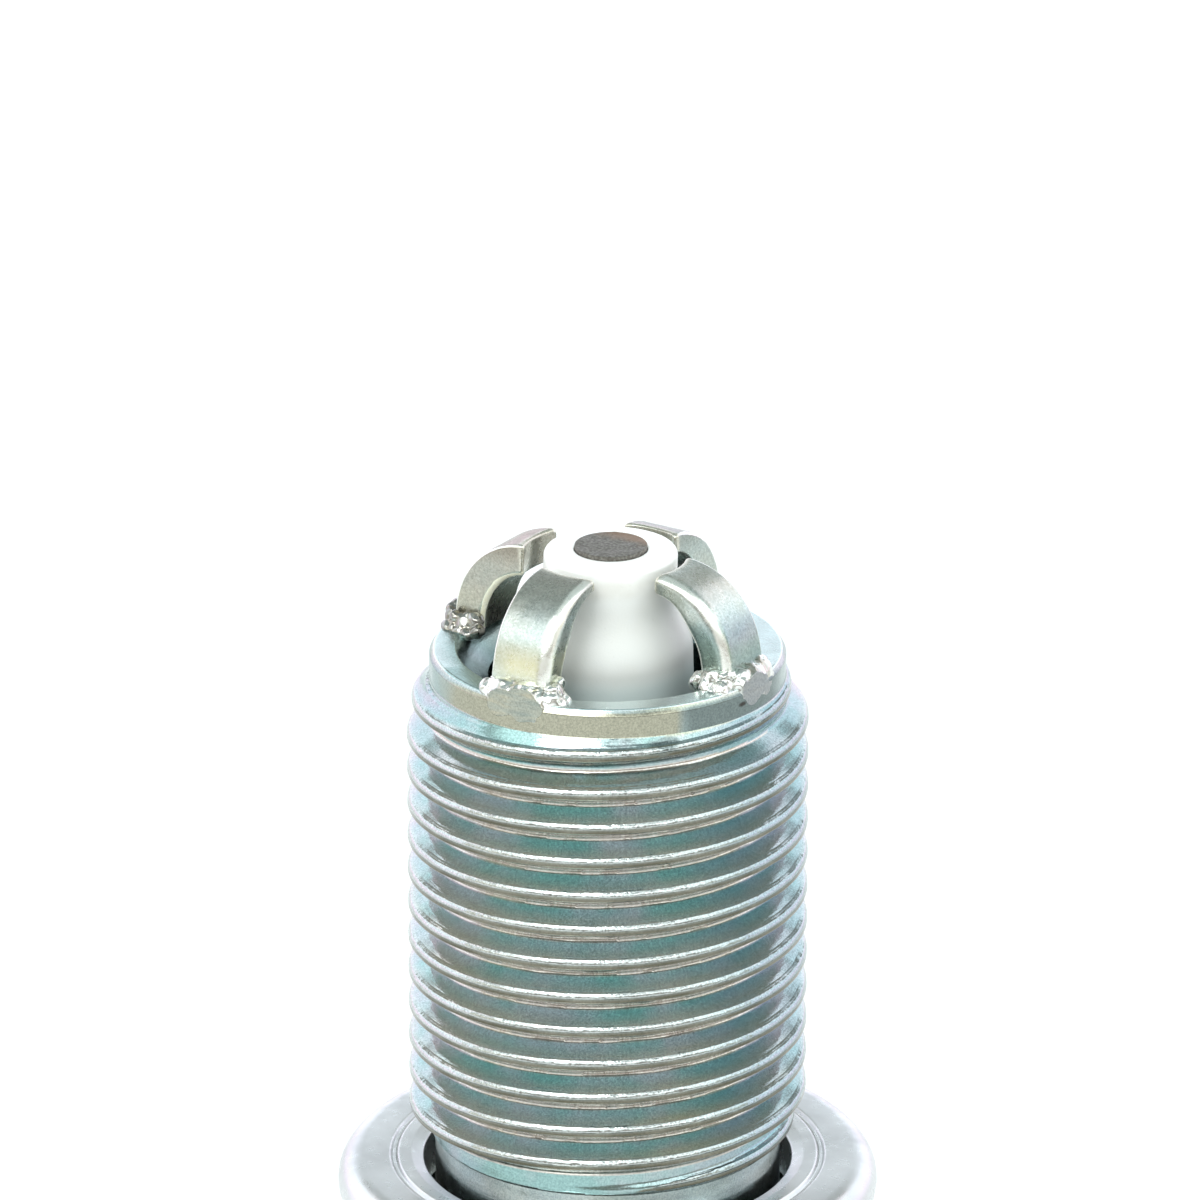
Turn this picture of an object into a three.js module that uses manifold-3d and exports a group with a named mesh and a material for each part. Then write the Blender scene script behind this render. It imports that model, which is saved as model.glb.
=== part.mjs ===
// Spark plug, M14 x 1.25, 19 mm reach, with four ground electrodes and a screw-on terminal nut.
// Millimetres. The origin is on the axis, in the plane where the gasket meets the cylinder head.
// +Z points to the firing end, and the four ground electrodes stand over -Y, +X, +Y and -X.

import * as THREE from "three";
import { mergeVertices } from "three/addons/utils/BufferGeometryUtils.js";
import Module from "manifold-3d";

const wasm = await Module();
wasm.setup();

// ---- driving dimensions ----

const SIDES = 40; // facets round every turned piece, and steps in a turn of thread
const REACH = 19; // from the gasket's contact plane to the end face of the shell

const THREAD = {
  pitch: 1.25,
  majorRadius: 6.95,
  rootRadius: 6.18,
  crestHalfWidth: 0.11,
  crestAtFacingX: 17.65, // height of one crest where it crosses the +X side
  first: 1.1, // run-out beside the relief groove
  leadIn: REACH - 1.0, // where the lead-in cone starts under the plain end
  fullAt: REACH - 1.94, // where the crest reaches its full radius
};

const PLAIN_END = { radius: 6.16, edge: 0.25, faceInner: 5.25, boreRadius: 4.1, coneDepth: 1.0 };
const RELIEF = { radius: 6.05, bottom: -2, top: 0.95 };
const FLANGE = { radius: 9.3, top: -2, bottom: -6, edge: 0.4 };
const SHRINK_GROOVE = { radius: 7.6, bottom: -8 };
const HEX = { acrossFlats: 16, top: -8, bottom: -17, chamfer: 0.55 };
const LIP = { outerRadius: 7.75, mouthRadius: 5.6, bottom: -18.6 };

const SEAT = { radius: 3.75, top: 6, cone: 4.9, slope: 0.7 }; // ledge that carries the insulator
const MID_BORE_RADIUS = 4.75;
const REAR_BORE = { radius: 6.6, top: -6.4, coneTop: -4.6 };

const NOSE = { tipRadius: 2.31, tip: REACH + 3.58, boreRadius: 1.45, edge: 0.15 };
const INSULATOR = {
  bodyRadius: 4.45,
  shoulderRadius: 6.35,
  neckRadius: 5.2,
  boreRadius: 2.1,
  boreStep: 2.0,
  ribs: 5,
  ribPitch: 2.6,
  firstRib: -20.4,
  grooveDepth: 0.6,
  endRadius: 4.2,
  end: -41,
};
const SEAT_GAP = 0.12; // clearance on each side of the front packing
const PACKING_THICKNESS = 0.5;

const CENTER = { radius: 1.25, tip: NOSE.tip + 0.17, headRadius: 1.95, head: 1.4, end: -0.6 };
const CORE = { radius: 0.65, tip: REACH + 1.2 };
const FILLING = { radius: 2.0, lowerGlassEnd: -4.5, resistorEnd: -14.5, upperGlassEnd: -19 };
const STUD = { radius: 1.95, tipRadius: 1.4, top: -17, shoulder: -19.4, end: -48.3 };
const NUT = { radius: 3.17, waistRadius: 2.6, boreRadius: 2.1, top: -41.2, bottom: -50.5 };
const GASKET = { inner: 6.45, outer: 9.4, thickness: 1.95, edge: 0.45 };
const WIRE_RING = { centerRadius: 5.9, wireRadius: 0.45, front: -13.0, rear: -16.95 };
const TALC = { inner: 5.35, outer: 6.45, top: -13.6, bottom: -16.35 };

const STRAP = { width: 2.2, thickness: 1.2, footRadius: 5.65, tipRadius: 2.45, stand: 0.05 };
const STRAP_RISE = 3.38; // from the foot to the outer face at the tip
const TIP_CUTS = [2.65, 2.78, 2.88, 3.0]; // radius of the round cut at each strap's tip
const WELD_GAP = 0.06; // clearance between a weld bead and the pieces that it joins

// ---- materials ----

const material = (color, roughness, metalness) =>
  new THREE.MeshStandardMaterial({ color, roughness, metalness });

const ZINC_PLATE = material(0xb4c2c1, 0.32, 0.9);
const NICKEL_STRAP = material(0xa9b1a6, 0.35, 0.9);
const WELD_STEEL = material(0xc8cccb, 0.3, 0.95);
const ALUMINA = material(0xf4f5f1, 0.35, 0);
const NICKEL_DARK = material(0x86857b, 0.5, 0.7);
const COPPER = material(0xb87348, 0.35, 1);
const GLASS = material(0x55534c, 0.4, 0.1);
const CARBON = material(0x2c2b2a, 0.8, 0);
const STEEL = material(0xb9bcbe, 0.35, 0.9);
const TALC_POWDER = material(0xdedad0, 0.9, 0);

// ---- shared helpers ----

/** A closed geometry with shared vertices, as manifold-3d and the STEP writer need it. */
function weldVertices(geometry) {
  geometry.deleteAttribute("normal");
  geometry.deleteAttribute("uv");
  return mergeVertices(geometry, 1e-4);
}

/** A body turned about Z from a profile of [radius, height] points, the outside going up. */
function turned(profile) {
  const points = profile.map(([radius, height]) => new THREE.Vector2(radius, height));
  return weldVertices(new THREE.LatheGeometry(points, SIDES).rotateX(Math.PI / 2));
}

/** The same, for a ring: the profile closes on itself. */
function turnedRing(profile) {
  return turned([...profile, profile[0]]);
}

/** Points of a round edge between two directions, in degrees, about a centre in the profile. */
function arc(radius, height, size, from, to, steps) {
  return Array.from({ length: steps + 1 }, (_, i) => {
    const angle = THREE.MathUtils.degToRad(from + ((to - from) * i) / steps);
    return [radius + size * Math.cos(angle), height + size * Math.sin(angle)];
  });
}

function toSolid(geometry) {
  const shared = weldVertices(geometry);
  return new wasm.Manifold(
    new wasm.Mesh({
      numProp: 3,
      vertProperties: new Float32Array(shared.attributes.position.array),
      triVerts: new Uint32Array(shared.index.array),
    }),
  );
}

function toGeometry(solid) {
  const { vertProperties, triVerts } = solid.getMesh();
  const geometry = new THREE.BufferGeometry();
  geometry.setAttribute("position", new THREE.BufferAttribute(vertProperties, 3));
  geometry.setIndex(new THREE.BufferAttribute(triVerts, 1));
  return geometry;
}

const plug = new THREE.Group();

/** Adds one named sub-part to the plug. */
function addPart(name, geometry, look) {
  const mesh = new THREE.Mesh(geometry, look);
  mesh.name = name;
  plug.add(mesh);
  return mesh;
}

// ---- shell ----

/** A ridge of thread as one closed sweep, sunk a little into the core that it stands on. */
function threadRidge() {
  const { pitch, majorRadius, rootRadius, crestHalfWidth, crestAtFacingX, first } = THREAD;
  const sunkRadius = rootRadius - 0.08;
  const flank = Math.tan(Math.PI / 6);
  const sunkHalfWidth = crestHalfWidth + (majorRadius - sunkRadius) * flank;
  const section = [
    [sunkRadius, -sunkHalfWidth],
    [majorRadius, -crestHalfWidth],
    [majorRadius, crestHalfWidth],
    [sunkRadius, sunkHalfWidth],
  ];
  const turns = Math.ceil((crestAtFacingX - first) / pitch) + 1;
  const steps = (turns + 1) * SIDES;
  const positions = [];
  const index = [];
  for (let i = 0; i <= steps; i += 1) {
    const turn = i / SIDES - turns;
    const angle = turn * 2 * Math.PI;
    for (const [radius, height] of section) {
      const z = crestAtFacingX + turn * pitch + height;
      positions.push(radius * Math.cos(angle), radius * Math.sin(angle), z);
    }
  }
  for (let i = 0; i < steps; i += 1) {
    for (let k = 0; k < 4; k += 1) {
      const a = 4 * i + k;
      const b = 4 * i + ((k + 1) % 4);
      index.push(a, a + 4, b, b, a + 4, b + 4);
    }
  }
  const last = 4 * steps;
  index.push(0, 1, 2, 0, 2, 3, last, last + 2, last + 1, last, last + 3, last + 2);
  const geometry = new THREE.BufferGeometry();
  geometry.setAttribute("position", new THREE.Float32BufferAttribute(positions, 3));
  geometry.setIndex(index);
  return geometry;
}

/** The space that the finished thread fills: chamfered run-out, full crest, lead-in cone. */
function threadEnvelope() {
  const { majorRadius, rootRadius, first, leadIn, fullAt } = THREAD;
  return turned([
    [0, first],
    [rootRadius - 0.1, first],
    [majorRadius, first + 0.8],
    [majorRadius, fullAt],
    [rootRadius - 0.02, leadIn],
    [0, leadIn],
  ]);
}

/** The shell's turned outside, without thread or hexagon flats. */
function shellOutside() {
  const { radius, edge } = PLAIN_END;
  const hexCorner = HEX.acrossFlats / Math.sqrt(3);
  return turned([
    [0, LIP.bottom],
    [LIP.mouthRadius + 0.7, LIP.bottom],
    ...arc(LIP.outerRadius - 1.15, HEX.bottom - 0.45, 1.15, -80, 0, 4),
    [hexCorner - HEX.chamfer * 1.8, HEX.bottom],
    [hexCorner, HEX.bottom + HEX.chamfer],
    [hexCorner, HEX.top - HEX.chamfer],
    [hexCorner - HEX.chamfer * 1.8, HEX.top],
    [SHRINK_GROOVE.radius, HEX.top + 0.1],
    [SHRINK_GROOVE.radius, FLANGE.bottom - 0.2],
    [FLANGE.radius - 0.8, FLANGE.bottom],
    [FLANGE.radius, FLANGE.bottom + FLANGE.edge],
    [FLANGE.radius, FLANGE.top - FLANGE.edge],
    [FLANGE.radius - FLANGE.edge, FLANGE.top],
    [RELIEF.radius, RELIEF.bottom],
    [RELIEF.radius, RELIEF.top],
    [THREAD.rootRadius, RELIEF.top + 0.15],
    [THREAD.rootRadius, THREAD.leadIn],
    ...arc(radius - edge, REACH - edge, edge, 0, 90, 3),
    [0, REACH],
  ]);
}

/** The stepped bore that holds the insulator, from the rolled lip to the firing end. */
function shellBore() {
  const past = 1;
  const { radius: seatRadius, top: seatTop, cone, slope } = SEAT;
  const coneEnd = cone - (MID_BORE_RADIUS - seatRadius) * slope;
  const coneWidening = (PLAIN_END.faceInner - PLAIN_END.boreRadius) / PLAIN_END.coneDepth;
  return turned([
    [0, LIP.bottom - past],
    [LIP.mouthRadius, LIP.bottom - past],
    [LIP.mouthRadius, LIP.bottom + 0.5],
    [REAR_BORE.radius, HEX.bottom - 0.5],
    [REAR_BORE.radius, REAR_BORE.top],
    [MID_BORE_RADIUS, REAR_BORE.coneTop],
    [MID_BORE_RADIUS, coneEnd],
    [seatRadius, cone],
    [seatRadius, seatTop],
    [PLAIN_END.boreRadius, seatTop + 0.4],
    [PLAIN_END.boreRadius, REACH - PLAIN_END.coneDepth],
    [PLAIN_END.faceInner + past * coneWidening, REACH + past],
    [0, REACH + past],
  ]);
}

/** Everything that the wrench flats leave: a hexagonal prism, with flats facing +X and -X. */
function wrenchFlats() {
  const length = 60;
  const corner = HEX.acrossFlats / Math.sqrt(3);
  const prism = new THREE.CylinderGeometry(corner, corner, length, 6).rotateX(Math.PI / 2);
  const wide = new THREE.CylinderGeometry(length, length, length, 6).rotateX(Math.PI / 2);
  const overHex = toSolid(wide).translate(0, 0, length / 2 + HEX.top + 0.05);
  return toSolid(prism).add(overHex);
}

/** The shell is one forging: plain end, thread, flange, hexagon and the lip rolled over. */
function shell() {
  const ridge = toSolid(threadRidge()).intersect(toSolid(threadEnvelope()));
  const outside = toSolid(shellOutside()).intersect(wrenchFlats());
  return toGeometry(outside.add(ridge).subtract(toSolid(shellBore())));
}

// ---- insulator ----

function insulator() {
  const { tipRadius, tip, boreRadius: noseBore, edge } = NOSE;
  const body = INSULATOR;
  const seatDrop = SEAT.cone - PACKING_THICKNESS - 2 * SEAT_GAP;
  const noseFoot = 3.35;
  const ribTop = body.firstRib;
  const ribbed = [];
  for (let rib = body.ribs - 1; rib >= 0; rib -= 1) {
    const z = ribTop - rib * body.ribPitch;
    ribbed.push(
      [body.neckRadius, z - body.ribPitch + 0.55],
      [body.neckRadius - body.grooveDepth, z - body.ribPitch + 1.0],
      [body.neckRadius - body.grooveDepth, z - body.ribPitch + 1.4],
      [body.neckRadius, z - body.ribPitch + 1.85],
    );
  }
  return turned([
    [body.boreRadius, body.end],
    [body.endRadius - 0.5, body.end],
    [body.endRadius, body.end + 0.5],
    [body.neckRadius - 0.25, body.firstRib - body.ribs * body.ribPitch - 1],
    ...ribbed,
    [body.neckRadius, -12.5],
    [body.shoulderRadius, -11.6],
    [body.shoulderRadius, REAR_BORE.top - 0.5],
    [body.bodyRadius, REAR_BORE.coneTop - 0.5],
    [body.bodyRadius, seatDrop - (body.bodyRadius - SEAT.radius) * SEAT.slope],
    [noseFoot, seatDrop - (noseFoot - SEAT.radius) * SEAT.slope],
    [noseFoot, 5.6],
    [3.15, 12],
    [2.93, REACH],
    [2.87, REACH + 0.25],
    [2.72, REACH + 0.55],
    [2.5, REACH + 0.95],
    [2.35, REACH + 1.35],
    [tipRadius, tip - edge],
    [tipRadius - edge, tip],
    [noseBore, tip],
    [noseBore, body.boreStep + 0.7],
    [body.boreRadius, body.boreStep],
    [body.boreRadius, body.end],
  ]);
}

// ---- conducting parts inside the insulator ----

/** The nickel alloy sheath: a long cup, open at its inner end for the copper core. */
function centerElectrode() {
  const boreRadius = CORE.radius + 0.05;
  return turned([
    [boreRadius, CENTER.end],
    [CENTER.headRadius, CENTER.end],
    [CENTER.headRadius, CENTER.head],
    [CENTER.radius, CENTER.head + 0.7],
    [CENTER.radius, CENTER.tip - 0.06],
    [CENTER.radius - 0.06, CENTER.tip],
    [0, CENTER.tip],
    [0, CORE.tip + 0.05],
    [boreRadius, CORE.tip + 0.05],
    [boreRadius, CENTER.end],
  ]);
}

/** A solid cylinder about Z between two heights. */
function rod(radius, bottom, top) {
  return turned([
    [0, bottom],
    [radius, bottom],
    [radius, top],
    [0, top],
  ]);
}

/** The upper glass seal grips the stud's knurled tip, so it is a cup. */
function upperGlassSeal() {
  const gripRadius = STUD.tipRadius + 0.1;
  const { radius, resistorEnd, upperGlassEnd } = FILLING;
  return turned([
    [gripRadius, upperGlassEnd],
    [radius, upperGlassEnd],
    [radius, resistorEnd - 0.1],
    [0, resistorEnd - 0.1],
    [0, STUD.top + 0.1],
    [gripRadius, STUD.top + 0.1],
    [gripRadius, upperGlassEnd],
  ]);
}

function terminalStud() {
  return turned([
    [0, STUD.end],
    [STUD.radius - 0.4, STUD.end],
    [STUD.radius, STUD.end + 0.4],
    [STUD.radius, STUD.shoulder],
    [STUD.tipRadius, STUD.shoulder + 0.3],
    [STUD.tipRadius, STUD.top],
    [0, STUD.top],
  ]);
}

/** The nut that the lead's cap snaps on: a foot, a waist for the clip and a round head. */
function terminalNut() {
  const { radius, waistRadius, boreRadius, top, bottom } = NUT;
  return turned([
    [0, bottom],
    [radius - 0.9, bottom],
    ...arc(radius - 0.6, bottom + 0.6, 0.6, -60, 0, 2),
    [radius, bottom + 2.5],
    [waistRadius, bottom + 3.3],
    [waistRadius, bottom + 4.5],
    [radius, bottom + 5.2],
    [radius, top - 0.3],
    [radius - 0.3, top],
    [boreRadius, top],
    [boreRadius, STUD.end - 0.5],
    [0, STUD.end - 0.8],
  ]);
}

// ---- seals ----

function gasket() {
  const { inner, outer, thickness, edge } = GASKET;
  return turnedRing([
    [inner, -thickness + edge / 2],
    [inner + edge, -thickness],
    [outer - 2 * edge, -thickness],
    ...arc(outer - 2 * edge, -thickness / 2, thickness / 2, -60, 60, 4),
    [outer - 2 * edge, 0],
    [inner + edge, 0],
    [inner, -edge / 2],
  ]);
}

/** The front packing is a conical washer between the shell's ledge and the insulator's seat. */
function frontPacking() {
  const onCone = (radius, drop) => [radius, SEAT.cone - (radius - SEAT.radius) * SEAT.slope - drop];
  const [inner, outer] = [SEAT.radius + 0.1, INSULATOR.bodyRadius - 0.05];
  const far = SEAT_GAP + PACKING_THICKNESS;
  return turnedRing([
    onCone(inner, far),
    onCone(outer, far),
    onCone(outer, SEAT_GAP),
    onCone(inner, SEAT_GAP),
  ]);
}

function wireRing(height) {
  const { centerRadius, wireRadius } = WIRE_RING;
  return turnedRing(arc(centerRadius, height, wireRadius, -90, 225, 7));
}

function talcFill() {
  const { inner, outer, top, bottom } = TALC;
  return turnedRing([
    [inner, bottom],
    [outer, bottom],
    [outer, top],
    [inner, top],
  ]);
}

// ---- ground electrodes and their welds, drawn for the one over +X ----

/** The strap's outer face from the foot to the tip, in radius and height over the shell. */
function strapCurve() {
  return new THREE.CubicBezierCurve(
    new THREE.Vector2(STRAP.footRadius, 0),
    new THREE.Vector2(STRAP.footRadius, 0.53 * STRAP_RISE),
    new THREE.Vector2(STRAP.footRadius - 1.05, STRAP_RISE - 0.06),
    new THREE.Vector2(STRAP.tipRadius, STRAP_RISE),
  );
}

/** A bent strip of even thickness, grown all round by a margin. */
function strapBlank(margin = 0) {
  const curve = strapCurve();
  const steps = 12;
  const outer = [];
  const inner = [];
  for (let i = 0; i <= steps; i += 1) {
    const point = curve.getPoint(i / steps);
    const along = curve.getTangent(i / steps);
    const outward = new THREE.Vector2(along.y, -along.x);
    outer.push(point.clone().addScaledVector(outward, margin));
    inner.push(point.clone().addScaledVector(outward, -STRAP.thickness - margin));
  }
  const outline = new THREE.Shape([...outer, ...inner.reverse()]);
  const width = STRAP.width + 2 * margin;
  const strip = new THREE.ExtrudeGeometry(outline, { depth: width, bevelEnabled: false });
  return strip.translate(0, 0, -width / 2).rotateX(Math.PI / 2);
}

/** The strap stands on the end face, and its tip is cut round to face the electrode evenly. */
function groundElectrode(tipCut) {
  const sparkFace = new THREE.CylinderGeometry(tipCut, tipCut, 20, SIDES);
  return toGeometry(
    toSolid(strapBlank())
      .subtract(toSolid(sparkFace.rotateX(Math.PI / 2)))
      .translate(0, 0, REACH + STRAP.stand),
  );
}

/** Flash of the resistance weld: beads in a horseshoe round the foot, flat underneath. */
function groundWeld() {
  const halfWidth = STRAP.width / 2;
  const front = STRAP.footRadius;
  const beads = [
    [front - 0.75, -halfWidth - 0.12, 0.36],
    [front - 0.3, -halfWidth - 0.15, 0.42],
    [front + 0.05, -halfWidth + 0.2, 0.4],
    [front + 0.08, -0.3, 0.38],
    [front + 0.08, 0.3, 0.4],
    [front + 0.05, halfWidth - 0.2, 0.38],
    [front - 0.3, halfWidth + 0.15, 0.44],
    [front - 0.75, halfWidth + 0.12, 0.36],
  ];
  const lumps = beads.map(([x, y, radius]) =>
    toSolid(new THREE.SphereGeometry(radius, 10, 7)).translate(x, y, REACH + 0.2),
  );
  const flash = lumps.reduce((joined, lump) => joined.add(lump));
  const floor = toSolid(new THREE.BoxGeometry(20, 20, 4)).translate(0, 0, REACH - 2 + WELD_GAP);
  const foot = toSolid(strapBlank(WELD_GAP)).translate(0, 0, REACH + STRAP.stand - 0.02);
  return toGeometry(flash.subtract(floor).subtract(foot));
}

// ---- assembly ----

addPart("shell", shell(), ZINC_PLATE);
addPart("insulator", insulator(), ALUMINA);
addPart("center_electrode", centerElectrode(), NICKEL_DARK);
addPart("center_electrode_core", rod(CORE.radius, CENTER.end, CORE.tip), COPPER);
addPart("lower_glass_seal", rod(FILLING.radius, FILLING.lowerGlassEnd, CENTER.end - 0.1), GLASS);
addPart("resistor", rod(FILLING.radius, FILLING.resistorEnd, FILLING.lowerGlassEnd - 0.1), CARBON);
addPart("upper_glass_seal", upperGlassSeal(), GLASS);
addPart("terminal_stud", terminalStud(), STEEL);
addPart("terminal_nut", terminalNut(), STEEL);
addPart("gasket", gasket(), STEEL);
addPart("front_packing", frontPacking(), COPPER);
addPart("front_wire_ring", wireRing(WIRE_RING.front), STEEL);
addPart("talc_fill", talcFill(), TALC_POWDER);
addPart("rear_wire_ring", wireRing(WIRE_RING.rear), STEEL);

const QUARTER = Math.PI / 2;
for (let i = 0; i < 4; i += 1) {
  const turn = (i - 1) * QUARTER;
  addPart(`ground_electrode_${i + 1}`, groundElectrode(TIP_CUTS[i]), NICKEL_STRAP).rotation.z = turn;
  addPart(`ground_weld_${i + 1}`, groundWeld(), WELD_STEEL).rotation.z = turn;
}

export default plug;
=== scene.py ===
import math
import random

import bmesh
import bpy
import numpy as np
from mathutils import Matrix, Vector, noise

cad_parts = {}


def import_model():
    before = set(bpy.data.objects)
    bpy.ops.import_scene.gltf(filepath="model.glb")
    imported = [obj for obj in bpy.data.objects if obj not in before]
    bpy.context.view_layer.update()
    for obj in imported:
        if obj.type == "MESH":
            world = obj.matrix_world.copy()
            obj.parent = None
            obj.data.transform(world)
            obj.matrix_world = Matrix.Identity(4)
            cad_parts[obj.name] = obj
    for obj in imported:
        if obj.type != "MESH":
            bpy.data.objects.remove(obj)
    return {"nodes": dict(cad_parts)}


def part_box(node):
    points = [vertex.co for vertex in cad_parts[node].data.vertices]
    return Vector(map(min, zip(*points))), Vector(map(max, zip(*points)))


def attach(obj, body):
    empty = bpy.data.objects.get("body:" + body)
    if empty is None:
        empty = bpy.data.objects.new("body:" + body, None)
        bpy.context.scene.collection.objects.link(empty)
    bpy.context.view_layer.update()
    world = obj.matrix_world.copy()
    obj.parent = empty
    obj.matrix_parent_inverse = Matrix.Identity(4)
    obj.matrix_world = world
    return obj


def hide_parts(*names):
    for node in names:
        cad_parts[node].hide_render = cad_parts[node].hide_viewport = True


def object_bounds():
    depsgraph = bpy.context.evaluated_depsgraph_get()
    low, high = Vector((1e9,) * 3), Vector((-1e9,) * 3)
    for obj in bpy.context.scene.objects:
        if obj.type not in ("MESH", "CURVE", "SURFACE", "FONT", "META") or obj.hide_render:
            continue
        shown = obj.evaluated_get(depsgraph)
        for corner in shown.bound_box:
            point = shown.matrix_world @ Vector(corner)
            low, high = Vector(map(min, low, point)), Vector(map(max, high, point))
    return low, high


# The looks of a spark plug: threaded plated shell, ceramic insulator, four bent ground electrodes
# with their welds, centre electrode, terminal stud and nut, and crush gasket. Lengths are in
# millimetres, in the CAD frame: +Z to the firing end, z = 0 in the gasket's contact plane.
# Azimuths are in degrees from -Y towards +X.

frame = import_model()
cad_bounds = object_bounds()

MM = 0.001


def box_mm(node):
    """A CAD node's lowest and highest corners in millimetres."""
    low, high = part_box(node)
    return low / MM, high / MM


SHELL_LOW, SHELL_HIGH = box_mm("shell")
INSULATOR_LOW, INSULATOR_HIGH = box_mm("insulator")
CENTER_LOW, CENTER_HIGH = box_mm("center_electrode")
NUT_LOW, NUT_HIGH = box_mm("terminal_nut")
STUD_LOW, STUD_HIGH = box_mm("terminal_stud")
GASKET_LOW, GASKET_HIGH = box_mm("gasket")

END = SHELL_HIGH.z  # the shell's end face, which the ground electrodes stand on
COLUMNS = 192  # steps round a turned surface

# ---- mesh helpers ----


def new_object(name, data):
    made = bpy.data.objects.new(name, data)
    bpy.context.scene.collection.objects.link(made)
    return made


def finish_mesh(name, points, faces, attributes=None, sharp_angle=None):
    """An object from points in millimetres; doubled points are merged, so grids close up.

    attributes gives one value for each point, or one for all."""
    mesh = bpy.data.meshes.new(name)
    mesh.from_pydata((np.asarray(points, float) * MM).tolist(), [], faces)
    for key, values in (attributes or {}).items():
        layer = mesh.attributes.new(key, "FLOAT", "POINT")
        layer.data.foreach_set("value", np.full(len(points), values, np.float32))
    work = bmesh.new()
    work.from_mesh(mesh)
    bmesh.ops.remove_doubles(work, verts=work.verts, dist=2e-4 * MM)
    bmesh.ops.dissolve_degenerate(work, edges=work.edges, dist=1e-5 * MM)
    bmesh.ops.recalc_face_normals(work, faces=work.faces)
    work.to_mesh(mesh)
    work.free()
    mesh.shade_smooth()
    if sharp_angle is not None:
        mesh.set_sharp_from_angle(angle=math.radians(sharp_angle))
    return new_object(name, mesh)


def grid_faces(rows, columns, wrap):
    """Quads of a grid of rows x columns points, closed round the columns if wrap is true."""
    steps = columns if wrap else columns - 1
    row, column = np.divmod(np.arange((rows - 1) * steps), steps)
    here, beside = row * columns + column, row * columns + (column + 1) % columns
    return np.stack([here, beside, beside + columns, here + columns], axis=-1).tolist()


def rounded(corners, steps=4):
    """A profile of (radius, height[, rounding]) corners with round edges.

    Each corner with a rounding gets an arc, and a support point close to both of its ends keeps
    the shading of the flats beside it even."""
    profile = []
    for i, corner in enumerate(corners):
        here = np.array(corner[:2], float)
        size = corner[2] if len(corner) > 2 else 0
        if size == 0 or i in (0, len(corners) - 1):
            profile.append(here)
            continue
        back = np.array(corners[i - 1][:2], float) - here
        ahead = np.array(corners[i + 1][:2], float) - here
        room_back, room_ahead = np.linalg.norm(back), np.linalg.norm(ahead)
        back, ahead = back / room_back, ahead / room_ahead
        half = math.acos(np.clip(back @ ahead, -1, 1)) / 2
        reach = min(size / math.tan(half), 0.45 * room_back, 0.45 * room_ahead)
        radius = reach * math.tan(half)
        middle = here + (back + ahead) / np.linalg.norm(back + ahead) * radius / math.sin(half)
        support = min(0.05, 0.3 * reach + 0.01)
        profile.append(here + back * (reach + support))
        first, last = here + back * reach - middle, here + ahead * reach - middle
        for mix in np.linspace(0, 1, steps + 1):
            arm = first * (1 - mix) + last * mix
            profile.append(middle + arm / np.linalg.norm(arm) * radius)
        profile.append(here + ahead * (reach + support))
    return profile


def round_angles(columns):
    """The angle of each column of a closed grid."""
    return np.linspace(0, 2 * math.pi, columns, endpoint=False)


def polar_points(radii, heights, angles):
    """Points of a polar grid of rows x columns, with one angle for each column."""
    x, y = radii * np.cos(angles), radii * np.sin(angles)
    return np.stack([x, y, heights + 0 * x], axis=-1).reshape(-1, 3)


def lathe(profile, columns=COLUMNS):
    """Points and faces of a turned surface through a profile of (radius, height)."""
    radii, heights = np.array(profile).T[:, :, None]
    points = polar_points(radii, heights, round_angles(columns))
    return points, grid_faces(len(profile), columns, True)


def lathe_rounded(*corners, steps=4, columns=COLUMNS):
    """A turned surface through corners with round edges."""
    return lathe(rounded(corners, steps), columns)


def joined(*parts):
    """Several (points, faces) sheets as one, ready to be merged along their shared rims."""
    points, faces = [], []
    for part_points, part_faces in parts:
        start = sum(len(p) for p in points)
        points.append(np.asarray(part_points, float))
        faces += (np.array(part_faces) + start).tolist()
    return np.concatenate(points), faces


def soft_step(value, low, high):
    """0 below low and 1 above high, with a smooth rise between them."""
    share = np.clip((value - low) / (high - low), 0, 1)
    return share * share * (3 - 2 * share)


def between(value, start, full, fade, end):
    """1 from full to fade, with a smooth rise from start and a smooth fall to end."""
    return soft_step(value, start, full) * (1 - soft_step(value, fade, end))


def smooth_low(a, b, blend):
    """The lower of two surfaces, with a rounded meeting."""
    return (a + b - np.sqrt((a - b) ** 2 + blend**2)) / 2


def smooth_high(a, b, blend):
    """The higher of two surfaces, with a rounded meeting."""
    return -smooth_low(-a, -b, blend)


THREAD_ROWS = (
    -0.465, -0.43, -0.385, -0.25, -0.155, -0.132, -0.117, -0.1, -0.06, 0, 0.02,
    0.05, 0.08, 0.11, 0.14, 0.17, 0.21, 0.29, 0.385, 0.43, 0.465, 0.5,
)  # shares of a pitch from the crest, crowded at its edges and at the root
FLANK_SLOPE = math.tan(math.radians(30))  # half of the thread's 60 degrees
EDGE_WAVE = 0.012  # how far a crest's edges wander, as a share of the pitch
CREST_WAVE = 0.006  # how far its height does
ROOT_BLEND = 0.06
RIPPLE_WAVES = ((3.1, 0.22), (7.3, 0.2), (13.7, 0.2), (23.9, 0.2), (37.1, 0.18))  # rate, size


def ripple(angle, seed):
    """A wavy value within about -1..1 that runs on along the helix's angle."""
    return sum(
        size * np.sin(angle * rate + seed * (k + 1) * 2.1)
        for k, (rate, size) in enumerate(RIPPLE_WAVES)
    )


def corner_drop(beyond, rounding):
    """How far a crest falls beyond its edge: a flat, an arc and a flank of 30 degrees."""
    reach = rounding * FLANK_SLOPE
    arc = rounding - np.sqrt(np.maximum(rounding**2 - (beyond + reach) ** 2, 0))
    return np.where(beyond < -reach, 0, np.where(beyond < reach / 2, arc, beyond / FLANK_SLOPE))


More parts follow.
